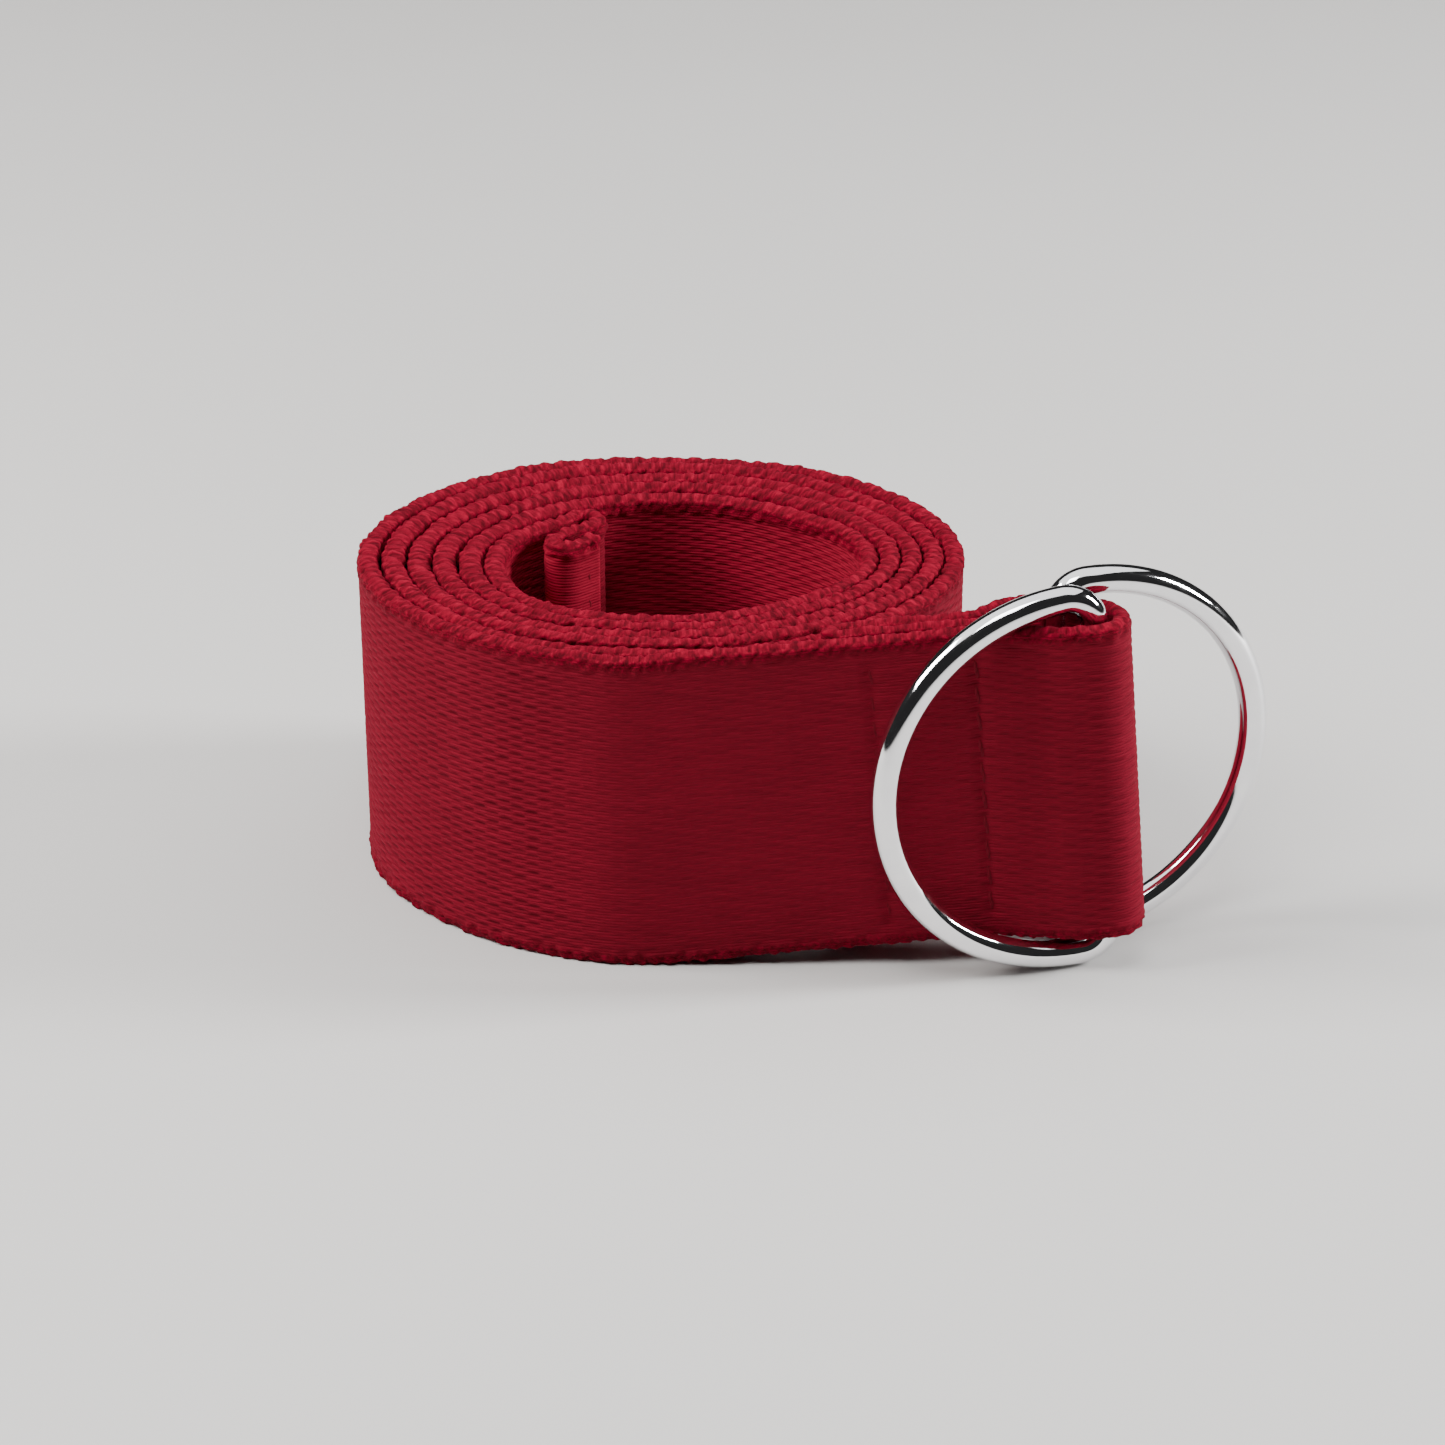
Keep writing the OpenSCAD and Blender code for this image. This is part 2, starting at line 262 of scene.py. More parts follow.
def twill(s, z, inner):
    """Height of the ribs, from 0 in a groove to 1 on a crest, about: floats that step down at each weft."""
    way = np.where(inner, -1.0, 1.0)
    column = s / WEFT + 0.10 * wander(z * 1.3 + 40, 2.3, 5)
    k = np.floor(column)
    u = column - k
    uneven = 0.07 * wander(s + 3 * z, 5.1, 3)

    def level(k):
        loose = 0.10 * (hashed(k, np.floor((z + way * SHIFT * k) / RIB + 0.5), 13) - 0.5)
        return np.cos(2 * math.pi * ((z + way * SHIFT * k) / RIB + uneven + loose))

    step = smooth((u - FLOAT_SHARE) / STEP_SHARE)
    wave = level(k) * (1 - step) + level(k + 1) * step
    pinch = 0.62 + 0.38 * np.sin(math.pi * np.clip(u / 0.9, 0, 1)) ** 0.7
    deep = 0.75 + 0.5 * hashed(k, np.floor((z + way * SHIFT * k) / RIB), 29)
    groove = smooth((-wave + 0.25) / 1.1) * pinch * deep
    return 1 - groove + 0.15 * wave


def grain(s, z, scale, seed):
    """Smooth random relief over a face, from -1 to 1."""
    u, v = s / scale, z / scale
    i, j = np.floor(u), np.floor(v)
    f, g = smooth(u - i), smooth(v - j)
    low = hashed(i, j, seed) * (1 - f) + hashed(i + 1, j, seed) * f
    high = hashed(i, j + 1, seed) * (1 - f) + hashed(i + 1, j + 1, seed) * f
    return 2 * (low + (high - low) * g) - 1


def knobs(s, across):
    """Height of the rounded weft turns on a woven edge; across is the angle round the edge in radians."""
    best = np.zeros_like(s)
    for r, (centre, spread, offset, size, slant) in enumerate(TURNS):
        leaning = s - slant * (across - centre)
        k0 = np.floor((leaning - offset) / WEFT)
        for dk in (0, 1):
            k = k0 + dk
            at = offset + WEFT * (k + 0.24 * (hashed(k, r, 7) - 0.5))
            big = size * (0.70 + 0.45 * hashed(k, r, 11))
            middle = centre + 0.25 * (hashed(k, r, 17) - 0.5)
            wide = WEFT * (0.40 + 0.10 * hashed(k, r, 19))
            d = ((leaning - at) / wide) ** 2 + ((across - middle) / spread) ** 2
            best = np.maximum(best, big * np.sqrt(np.maximum(0, 1 - d)))
    return best


EDGE_DEPTH = 0.8  # of the rounded part of each woven edge
RIB_HEIGHT, KNOB_HEIGHT, KNOB_BED = 0.15, 0.21, 0.09
LOWER_EDGE_OFFSET = 0.6  # so that the turns of the two edges don't line up
FINE_ROW, COARSE_ROWS = 0.225, (0.0, 0.5, 1.2, 2.6, 6.0)
CAP_ANGLES = np.radians(np.linspace(-90, 90, 13)[1:-1])
OUTER, INNER, TOP, BOTTOM = range(4)  # what a point of the section lies on


def squared(v):
    """A sine or cosine pushed outward, so that the edge is fuller than a half round."""
    return math.copysign(abs(v) ** 0.75, v)


def section(fine_outer, fine_inner):
    """Points round the webbing's section, in six rows.

    They are the offset across its thickness, the height, the same two parts of the surface's normal, what
    the point lies on, and the angle round the woven edge.
    """
    top = WIDTH - EDGE_DEPTH

    def rows(is_fine):
        """Heights up a face: close together where it is seen, and few where another turn hides it."""
        if is_fine:
            return np.linspace(EDGE_DEPTH, top, round((top - EDGE_DEPTH) / FINE_ROW) + 1)
        low = EDGE_DEPTH + np.array(COARSE_ROWS)
        return np.concatenate([low, [MID], WIDTH - low[::-1]])

    half = THICK / 2
    points = [(-half, h, -1, 0, OUTER, 0) for h in rows(fine_outer)]
    for a in CAP_ANGLES:
        sine, cosine = math.sin(a), math.cos(a)
        points.append((half * squared(sine), top + EDGE_DEPTH * squared(cosine), sine, cosine, TOP, a))
    points += [(half, h, 1, 0, INNER, 0) for h in rows(fine_inner)[::-1]]
    for a in CAP_ANGLES[::-1]:
        sine, cosine = math.sin(a), math.cos(a)
        low = EDGE_DEPTH - EDGE_DEPTH * squared(cosine)
        points.append((half * squared(sine), low, sine, -cosine, BOTTOM, a))
    return np.array(points, float).T


SEAM_ROWS = []  # distance along the webbing of each stitched row, for its dimples; filled in below
DIMPLE_REACH = 4.0
JOINT_STEP = 0.3  # how far the column beyond each end lies, for the normals there
TANGENT_REACH = 0.15
# Where the webbing changes and over what length, past the lead's start and then past the hem.
OUTERMOST, HANDLED, LIFTING, IN_THE_LOOP, WORN = (-255, 30), (-16, 13), (-8, 16), (34, 8), (36, 5)
FOLDED, INNERMOST = (2, 6), (105, 30)


def plan_at(s):
    """Plan points of the middle line at distances along it."""
    return np.stack([np.interp(s, LINE_S, LINE[:, k]) for k in (0, 1)], axis=1)


def past(s, origin, change):
    """How much of a change has happened, from 0 to 1, where it starts and runs on past an origin."""
    return smooth((s - origin - change[0]) / change[1])


def hem_folds(s):
    """1 in the hem's tight folds and 0 beyond them."""
    return 1 - past(s, HEM_S, FOLDED)


def relief_left(s, kind):
    """How much of the weave's relief is left: the handled end and the tight folds are pressed flatter."""
    handled = past(s, LEAD_S, HANDLED) * (1 - 0.25 * past(s, LEAD_S, IN_THE_LOOP))
    relief = 1.0 - 0.72 * np.maximum(handled, 0.85 * hem_folds(s))
    return relief * np.where(kind == INNER, 0.65, 1.0)[None]


def fullness(s, centre, kind, across):
    """How far the woven edges stand out from the faces, where the turns leave room for them."""
    bearing = np.degrees(np.arctan2(centre[:, 1], centre[:, 0])) % 360
    pitch = np.array([round_coil(PITCH_SIDES, PITCH_CORNERS, b) for b in bearing])
    full = np.clip((pitch - THICK) / 2 - 0.14, 0.02, 0.50)[:, None]
    full = full * (1 - 0.65 * hem_folds(s))
    # Nothing holds the edge out on the open sides of the outermost and innermost turns.
    outward = np.where(kind == OUTER, 1.0, np.where(kind == INNER, 0.0, (1 - np.sin(across)) / 2))[None]
    outermost, innermost = past(s, LEAD_S, OUTERMOST), 1 - past(s, HEM_S, INNERMOST)
    return full * (1 - 0.7 * np.clip(outermost * outward + innermost * (1 - outward), 0, 1))


def woven_edge(s, z, rim, centre, kind, across):
    """Height of the woven edges, which reach a little way on to the faces, and of their turns of weft."""
    beyond = np.where(kind == INNER, 1, -1)[None] * (math.pi / 2 + np.maximum(rim - EDGE_DEPTH, 0))
    angle = np.where((kind < TOP)[None], beyond, across[None])
    lump = knobs(s + np.where(z < MID, LOWER_EDGE_OFFSET, 0), angle)
    tuft = 0.144 * grain(s, angle * 1.1, 0.80, 52) + 0.096 * grain(s, angle * 1.1, 0.42, 53)
    # The hem's edges are frayed and uneven.
    fray = 0.30 * grain(s, angle * 1.3, 1.5, 54) + 0.16 * grain(s, angle * 1.3, 0.6, 55)
    # Round the bars the wire has worn the turns flat.
    inward = np.where(kind == INNER, 1, np.clip(np.sin(across), 0, 1))[None]
    worn = past(s, LEAD_S, WORN) * inward
    near = smooth((2.3 - rim) / 1.0)
    edging = KNOB_HEIGHT * lump - KNOB_BED + fullness(s, centre, kind, across) + tuft + fray * hem_folds(s)
    return edging * near * (1 - 0.85 * worn), lump * near


def with_dimples(height, s, z, rim, kind):
    """The surface's height, pulled in by each row of stitches, and most at the needle holes."""
    inside = smooth((rim - STITCH_MARGIN + 1) / 1.5)
    hole = 0.5 + 0.5 * np.cos(2 * math.pi * ((z - STITCH_MARGIN) / STITCH))
    for row_s in SEAM_ROWS:
        on = (kind == OUTER)[None] & (np.abs(s - row_s) < DIMPLE_REACH)
        dip = np.exp(-((s - row_s) / 0.75) ** 2) * (0.12 + 0.16 * hole) * inside
        height = np.where(on, height - dip, height)
    return height


def column_normals(points, c):
    """Normals of one column of points, from the columns before and after it."""
    round_it = np.roll(points[c], -1, 0) - np.roll(points[c], 1, 0)
    normal = np.cross(points[c + 1] - points[c - 1], round_it)
    return normal / np.linalg.norm(normal, axis=1)[:, None]


def loop_quads(count, sides, closed):
    """Faces of a tube of that many loops of points."""
    i, j = np.meshgrid(np.arange(count if closed else count - 1), np.arange(sides), indexing="ij")
    k, l = (i + 1) % count, (j + 1) % sides
    return np.stack([i * sides + j, i * sides + l, k * sides + l, k * sides + j], -1).reshape(-1, 4)


def mesh_of(name, verts, quads, caps=()):
    """A smooth mesh object from points in metres and faces, with flat end caps."""
    mesh = bpy.data.meshes.new(name)
    faces = quads.tolist() + [list(c) for c in caps]
    mesh.from_pydata(verts.tolist(), [], faces)
    mesh.polygons.foreach_set("use_smooth", [True] * len(quads) + [False] * len(caps))
    mesh.update()
    piece = bpy.data.objects.new(name, mesh)
    bpy.context.scene.collection.objects.link(piece)
    return piece


def store(piece, name, values):
    """A point attribute for the shader to read."""
    values = np.asarray(values, np.float32)
    if values.ndim == 2:
        piece.data.attributes.new(name, "FLOAT_VECTOR", "POINT").data.foreach_set("vector", values.ravel())
    else:
        piece.data.attributes.new(name, "FLOAT", "POINT").data.foreach_set("value", values)


def ribbon(name, s0, s1, step, fine_outer, fine_inner):
    """One stretch of the webbing as a closed mesh, from s0 to s1. Arrays are by column, then round it."""
    n, z, nn, nz, kind, across = section(fine_outer, fine_inner)
    columns, around = max(2, round((s1 - s0) / step) + 1), len(n)
    # One column more lies beyond each end until the normals there are known.
    s = np.concatenate([[s0 - JOINT_STEP], np.linspace(s0, s1, columns), [s1 + JOINT_STEP]])
    centre = plan_at(s)
    within = np.clip(s, TANGENT_REACH, TOTAL - TANGENT_REACH)
    t = plan_at(within + TANGENT_REACH) - plan_at(within - TANGENT_REACH)
    t /= np.linalg.norm(t, axis=1)[:, None]
    side = np.stack([-t[:, 1], t[:, 0]], axis=1)

    S = np.repeat(s[:, None], around, axis=1)
    Z = np.repeat(z[None], columns + 2, axis=0)
    face = (kind < TOP)[None]
    rim = np.minimum(Z, WIDTH - Z)
    # The ribs fade out where the flat faces meet the woven edge.
    fade = smooth((rim - 0.9) / 1.2)
    rib = twill(S, Z, (kind == INNER)[None])
    relief = relief_left(S, kind)
    weave = RIB_HEIGHT * relief * (rib - LEVEL) * fade + 0.02 * grain(S, Z, 0.9, 51)
    edging, lump = woven_edge(S, Z, rim, centre, kind, across)
    height = with_dimples(np.where(face, weave, 0) + edging, S, Z, rim, kind)

    # The top edge of each turn stands a little higher or lower. Nothing goes below the floor.
    rise = 0.28 * wander(s, 31, 21) + 0.12 * wander(s, 9, 22)
    tall = np.maximum(Z + (Z / WIDTH) * rise[:, None] + nz[None] * height, 0)
    offset = n[None] + nn[None] * height
    points = np.concatenate([centre[:, None] + side[:, None] * offset[..., None], tall[..., None]], axis=2)
    points = (lifted(points, past(S, LEAD_S, LIFTING)) + ORIGIN) * MM
    # Normals at both ends are those of the whole band, so that the joints don't show.
    first, last = column_normals(points, 1), column_normals(points, columns)
    points, S, Z, rim, rib, lump, fade, relief = (
        v[1:-1] for v in (points, S, Z, rim, rib, lump, fade, relief))

    verts = points.reshape(-1, 3)
    quads = loop_quads(columns, around, False)[:, [0, 3, 2, 1]]  # the section goes round the other way
    caps = [list(range(around)), [(columns - 1) * around + k for k in range(around)][::-1]]
    piece = mesh_of(name, verts, quads, caps)
    # Painted shade and highlight: a tone from the height of the ribs and of the edges' turns, which darkens
    # the colour in the grooves and lightens it on the crests.
    rib_shading = LEVEL + (rib - LEVEL) * relief
    height_shading = np.where(face, rib_shading * fade + (1 - fade) * 0.5, 0.25 + 0.75 * lump)
    store(piece, "weave", np.stack([S, Z, np.broadcast_to(kind[None], S.shape)], -1).reshape(-1, 3))
    store(piece, "height_shading", height_shading.reshape(-1))
    store(piece, "edge", np.where(face, 1 - smooth((rim - 0.7) / 1.1), 1.0).reshape(-1))
    normals = np.zeros_like(verts)
    if s0 > 0:
        normals[:around] = first
    if s1 < TOTAL:
        normals[-around:] = last
    piece.data.normals_split_custom_set_from_vertices(normals.tolist())
    return piece, s1 - s0


# ---------------------------------------------------------------- camera
camera = bpy.data.objects.new("camera", bpy.data.cameras.new("camera"))
bpy.context.scene.collection.objects.link(camera)
bpy.context.scene.camera = camera
camera.data.sensor_width, camera.data.lens = 36, 92.35
camera.data.dof.use_dof = False
ELEVATION, DISTANCE = math.radians(26), 432.5
look_at = np.array([7.0, -6.0, 19.0]) + ORIGIN
away = np.array([0, -math.cos(ELEVATION), math.sin(ELEVATION)])
camera.location = Vector((look_at + DISTANCE * away) * MM)
camera.rotation_euler = (math.pi / 2 - ELEVATION, 0, 0)
camera.data.clip_start, camera.data.clip_end = 0.01, 20


# ---------------------------------------------------------------- materials
class Nodes:
    """A small helper that wires up shader nodes."""

    def __init__(self, name):
        self.material = bpy.data.materials.new(name)
        self.material.use_nodes = True
        self.tree = self.material.node_tree
        self.shader = self.tree.nodes["Principled BSDF"]

    def add(self, kind, **settings):
        node = self.tree.nodes.new(kind)
        for key, value in settings.items():
            setattr(node, key, value)
        return node

    def link(self, value, socket):
        if isinstance(value, (int, float, tuple)):
            socket.default_value = value
        else:
            self.tree.links.new(value, socket)

    def math(self, operation, a, b=0.0, c=0.5, clamp=False):
        node = self.add("ShaderNodeMath", operation=operation, use_clamp=clamp)
        for value, socket in zip((a, b, c), node.inputs):
            self.link(value, socket)
        return node.outputs[0]

    def weighted(self, *terms):
        """The sum of some values, each times its weight."""
        parts = [self.math("MULTIPLY", value, weight) for value, weight in terms]
        total = parts[0]
        for part in parts[1:]:
            total = self.math("ADD", total, part)
        return total

    def attribute(self, name):
        return self.add("ShaderNodeAttribute", attribute_name=name)

    def vector(self, x, y, z):
        node = self.add("ShaderNodeCombineXYZ")
        for value, socket in zip((x, y, z), node.inputs):
            self.link(value, socket)
        return node.outputs[0]

    def noise(self, vector, scale, detail=3.0, roughness=0.55):
        node = self.add("ShaderNodeTexNoise")
        self.link(vector, node.inputs["Vector"])
        node.inputs["Scale"].default_value = scale
        node.inputs["Detail"].default_value = detail
        node.inputs["Roughness"].default_value = roughness
        return node.outputs["Fac"]

    def ramp(self, value, *stops):
        node = self.add("ShaderNodeValToRGB")
        self.link(value, node.inputs[0])
        ramp = node.color_ramp
        while len(ramp.elements) < len(stops):
            ramp.elements.new(0.5)
        for element, (at, colour) in zip(ramp.elements, stops):
            element.position = at
            element.color = (*colour, 1)
        return node.outputs[0]

    def mix(self, factor, a, b, blend="MIX"):
        node = self.add("ShaderNodeMix", data_type="RGBA", blend_type=blend)
        self.link(factor, node.inputs["Factor"])
        self.link(a if not isinstance(a, tuple) else (*a, 1), node.inputs["A"])
        self.link(b if not isinstance(b, tuple) else (*b, 1), node.inputs["B"])
        return node.outputs["Result"]

    def bump(self, height, distance, strength=1.0, normal=None):
        node = self.add("ShaderNodeBump")
        node.inputs["Strength"].default_value = strength
        node.inputs["Distance"].default_value = distance
        self.link(height, node.inputs["Height"])
        if normal is not None:
            self.link(normal, node.inputs["Normal"])
        return node.outputs[0]

    def set(self, **values):
        for key, value in values.items():
            self.link(value, self.shader.inputs[key.replace("_", " ")])
        return self.material


# Linear colours of the dyed cotton, from the grooves to the crests: the darker grooves and crevices are
# painted shade and the lighter crests painted highlight, on the faces, the edges and the thread's plies.
FACE_DYES_AND_GROOVE_SHADE = (0.108, 0.0028, 0.0098), (0.172, 0.0045, 0.0160), (0.230, 0.0062, 0.0222)
EDGE_DYES_SHADE_AND_HIGHLIGHT = (0.065, 0.0007, 0.0048), (0.140, 0.0015, 0.0108), (0.262, 0.0022, 0.0200)
THREAD_DYES_AND_PLY_SHADE = (0.065, 0.0008, 0.0048), (0.125, 0.0016, 0.0095)
# Those of chrome, and of the pale floor.
CHROME_TONES = (0.83, 0.83, 0.85), (0.90, 0.90, 0.91)
FLOOR_TONES = (0.51, 0.50, 0.49), (0.55, 0.54, 0.53)


def webbing_material():
    """Dyed cotton: twill of short warp floats on the faces, knobbly weft turns on the edges."""
    m = Nodes("cotton_webbing")
    place = m.add("ShaderNodeSeparateXYZ")
    m.link(m.attribute("weave").outputs["Vector"], place.inputs[0])
    s, z, kind = place.outputs
    height_shading = m.attribute("height_shading").outputs["Fac"]
    edge = m.attribute("edge").outputs["Fac"]
    # One warp yarn after another up the width, each float starting a little further along.
    slope = m.math("SUBTRACT", 1.0, m.math("MULTIPLY", m.math("MINIMUM", kind, 1.0), 2.0))
    yarn = m.math("DIVIDE", z, YARN)
    row = m.math("ROUND", yarn)
    across = m.math("ABSOLUTE", m.math("SUBTRACT", yarn, row))
    roundness = m.math("SUBTRACT", 1.0, m.math("POWER", m.math("MULTIPLY", across, 2.0), 2.0))
    shifted = m.math("MULTIPLY", m.math("MULTIPLY", row, slope), WEFT)
    along = m.math("DIVIDE", m.math("ADD", s, shifted), 3 * WEFT)
    float_no = m.math("FLOOR", along)
    part = m.math("FRACT", along)
    bow = m.math("SINE", m.math("MULTIPLY", part, math.pi))
    float_height = m.math("MULTIPLY", roundness, m.math("ADD", m.math("MULTIPLY", bow, 0.7), 0.3))
    random = m.add("ShaderNodeTexWhiteNoise", noise_dimensions="3D")
    m.link(m.vector(row, float_no, kind), random.inputs["Vector"])
    yarn_random = random.outputs["Value"]
    fibre = m.noise(m.vector(m.math("MULTIPLY", s, 0.9), m.math("MULTIPLY", z, 5.5), kind), 1.3, 4, 0.65)
    fuzz = m.noise(m.vector(s, z, kind), 3.1, 5, 0.7)
    broad = m.noise(m.vector(s, z, kind), 0.055, 2, 0.5)
    curl = m.noise(m.vector(s, z, m.math("ADD", kind, 9.0)), 2.1, 3, 0.6)

    uneven = m.math("SUBTRACT", yarn_random, 0.5)
    streak = m.math("SUBTRACT", fibre, 0.5)
    # Painted shade and highlight: the colour follows the height of the ribs and of each warp float, darker
    # in the grooves and lighter on the crests, mixed with the yarns' own random tone.
    crest = m.weighted((height_shading, 0.50), (float_height, 0.20), (uneven, 0.20), (streak, 0.40))
    dye_and_shading = m.ramp(crest, *zip((0.0, 0.50, 1.0), FACE_DYES_AND_GROOVE_SHADE))
    # The turned yarns of the edges run from painted shade in their crevices to painted highlights on their
    # tops, in random specks of tone.
    tone = m.weighted((height_shading, 0.40), (m.math("SUBTRACT", curl, 0.40), 2.2))
    dye_and_shading = m.mix(edge, dye_and_shading, m.ramp(tone, *zip((0.10, 0.50, 0.92), EDGE_DYES_SHADE_AND_HIGHLIGHT)))
    shade = m.ramp(broad, (0.3, (0.90, 0.90, 0.90)), (0.7, (1.0, 1.0, 1.0)))
    dye_and_shading = m.mix(1.0, dye_and_shading, shade, "MULTIPLY")
    # The inner face is made half again as bright: painted light for the hollow, where little of the lamps'
    # light reaches.
    inner = m.math("COMPARE", kind, float(INNER), 0.5)
    dye_and_shading = m.mix(inner, dye_and_shading, m.mix(1.0, dye_and_shading, (1.50, 1.50, 1.50), "MULTIPLY"))

    face_bump = m.weighted((float_height, 0.8), (fibre, 0.7))
    edge_bump = m.weighted((curl, 1.6), (fuzz, 0.9))
    blended = m.add("ShaderNodeMix", data_type="FLOAT")
    m.link(edge, blended.inputs["Factor"])
    m.link(face_bump, blended.inputs["A"])
    m.link(edge_bump, blended.inputs["B"])
    normal = m.bump(blended.outputs["Result"], 0.00012, 0.85)
    normal = m.bump(fuzz, 0.00003, 0.5, normal)
    rough = m.math("ADD", m.math("MULTIPLY", fibre, 0.14), 0.78)
    return m.set(Base_Color=dye_and_shading, Roughness=rough, Normal=normal, Specular_IOR_Level=0.07,
                 Sheen_Weight=0.05, Sheen_Roughness=0.4, Sheen_Tint=(1.0, 0.06, 0.16, 1))


def thread_material():
    """Twisted polyester-cotton sewing thread, a touch glossier than the webbing."""
    m = Nodes("sewing_thread")
    place = m.add("ShaderNodeSeparateXYZ")
    m.link(m.attribute("twist").outputs["Vector"], place.inputs[0])
    ply, along, piece = place.outputs
    strand = m.noise(m.vector(m.math("MULTIPLY", ply, 4.0), along, piece), 2.4, 4, 0.6)
    # Painted shade: the colour is darker between the plies and lighter on their tops, mixed with the
    # fibres' own random tone.
    height = m.math("ADD", m.math("MULTIPLY", ply, 0.4), strand)
    dye_and_shading = m.ramp(height, *zip((0.1, 0.9), THREAD_DYES_AND_PLY_SHADE))
    rough = m.math("ADD", m.math("MULTIPLY", strand, 0.2), 0.65)
    return m.set(Base_Color=dye_and_shading, Roughness=rough, Normal=m.bump(strand, 0.00002, 0.6),
                 Specular_IOR_Level=0.12, Sheen_Weight=0.04, Sheen_Roughness=0.4,
                 Sheen_Tint=(1.0, 0.10, 0.20, 1))


def chrome_material():
    """Bright chrome on steel wire: near mirror, with hairlines and a few rubbed spots."""
    m = Nodes("chromed_steel")
    place = m.add("ShaderNodeSeparateXYZ")
    m.link(m.attribute("wire").outputs["Vector"], place.inputs[0])
    along, around, ring = place.outputs
    drawn_out = m.vector(m.math("MULTIPLY", along, 0.25), m.math("MULTIPLY", around, 6.0), ring)
    hairline = m.noise(drawn_out, 2.0, 5, 0.7)
    cloud = m.noise(m.vector(along, around, ring), 0.35, 3, 0.6)
    fine = m.noise(m.vector(along, around, m.math("ADD", ring, 5.0)), 3.0, 3, 0.5)
    worn = m.math("SUBTRACT", m.math("MULTIPLY", cloud, 3.0), 1.55, clamp=True)
    rough = m.math("ADD", 0.045, m.math("MULTIPLY", m.math("SUBTRACT", hairline, 0.45, clamp=True), 0.25))
    rough = m.math("ADD", rough, m.math("MULTIPLY", worn, 0.09))
    tone = m.ramp(cloud, *zip((0.3, 0.7), CHROME_TONES))
    height = m.weighted((hairline, 0.6), (fine, 0.4))
    return m.set(Base_Color=tone, Metallic=1.0, Roughness=rough, Normal=m.bump(height, 0.000004, 0.5))


def floor_material():
    """A pale matt surface, faintly clouded."""
    m = Nodes("pale_floor")
    coordinate = m.add("ShaderNodeTexCoord").outputs["Object"]
    cloud = m.noise(coordinate, 3.0, 4, 0.5)
    tone = m.ramp(cloud, *zip((0.3, 0.7), FLOOR_TONES))
    return m.set(Base_Color=tone, Roughness=0.7, Specular_IOR_Level=0.2)


COTTON, THREAD, CHROME, FLOOR = webbing_material(), thread_material(), chrome_material(), floor_material()


def finish_piece(piece, material, body, slot, *nodes):
    """Gives a piece its material and its moving body, and hides the CAD nodes it stands for. The slot is
    not used.
    """
    piece.data.materials.append(material)
    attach(piece, body)
    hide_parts(*nodes)
    return piece


# ---------------------------------------------------------------- the webbing, in stretches that meet
STRETCH_PAST_HEM, LOOP_BEFORE_SEAM = 12, 4
INNER_TURNS = 1.12
OUTER_TURN, OUTER_TURN_FRONT = 378, 190  # degrees back from where the lead leaves the coil

row_xs = (AT["seam_x"] - ROW_FROM_SEAM, AT["seam_x"] - FLAP_LENGTH + ROW_FROM_FOLD)
hem_at = AT["hem_row"]
# Rows are looked for on the lead, on the end turned under behind it, and on the hem's two outer layers.
for x in row_xs:
    lead_at = np.array([AT["lift_x"] + x, AT["lead_y"] + SEAM_DIP])
    SEAM_ROWS.append(s_near(lead_at, LEAD_S, LEAD_S + 45))
    SEAM_ROWS.append(s_near(lead_at + [0, 2 * FLAP_PITCH], LEAD_S + 60, TOTAL - 12))
SEAM_ROWS.append(s_near(hem_at, HEM_S - 8, HEM_S + 20))
SEAM_ROWS.append(s_near(hem_at + ray(AT["hem_out"] - 90, 2 * HEM_PITCH), 0, 12))

hem_end = HEM_S + STRETCH_PAST_HEM
inner_end = s_near(coil_point(LEAVES_AT - 360 * (COIL_TURNS - INNER_TURNS)), HEM_S, TOTAL)
outer_start = s_near(coil_point(LEAVES_AT - OUTER_TURN), LEAD_S - 320, LEAD_S)
outer_middle = s_near(coil_point(LEAVES_AT - OUTER_TURN_FRONT), LEAD_S - 200, LEAD_S)
loop_start = LEAD_S + AT["seam_x"] - LOOP_BEFORE_SEAM
# Each stretch's name, ends, step along it, and whether its outer and inner faces are seen.
STRETCHES = (
    ("webbing_hem", 0, hem_end, 0.30, True, True),
    ("webbing_inner_turn", hem_end, inner_end, 0.30, False, True),
    ("webbing_middle_turns", inner_end, outer_start, 0.23, False, False),
    ("webbing_outer_turn_back", outer_start, outer_middle, 0.30, True, False),
    ("webbing_outer_turn_front", outer_middle, LEAD_S, 0.30, True, False),
    ("webbing_lead", LEAD_S, loop_start, 0.30, True, True),
    ("webbing_ring_loop", loop_start, TOTAL, 0.32, True, True),
)
for name, s0, s1, step, fine_outer, fine_inner in STRETCHES:
    piece, length = ribbon(name, s0, s1, step, fine_outer, fine_inner)
    finish_piece(piece, COTTON, "strap", "cotton_webbing", "webbing")


# ---------------------------------------------------------------- D-rings
BAR_POINTS, CORNER_POINTS, ROUND_POINTS, WIRE_SIDES = 120, 28, 300, 40
WELD_HEIGHT, WELD_REACH, WELD_SWELLING = 1.5, 0.9, 0.045  # on the bar, from its middle


def turning(start, end, count, radius, height):
    """Points on an arc of the wire's line, its last left out."""
    a = np.radians(np.linspace(start, end, count, endpoint=False))
    return np.stack([RING_CORNER + radius * np.cos(a), height + radius * np.sin(a)], 1)


def ring_path():
    """Points round a ring's wire, with its bar upright through the origin and its round towards +X."""
    straight = RING_RADIUS - RING_CORNER
    bar = np.linspace(-straight, straight, BAR_POINTS, endpoint=False)
    return np.concatenate([
        np.stack([0 * bar, bar], 1),
        turning(180, 90, CORNER_POINTS, RING_CORNER, straight),
        turning(90, -90, ROUND_POINTS, RING_RADIUS, 0),
        turning(270, 180, CORNER_POINTS, RING_CORNER, -straight),
    ])


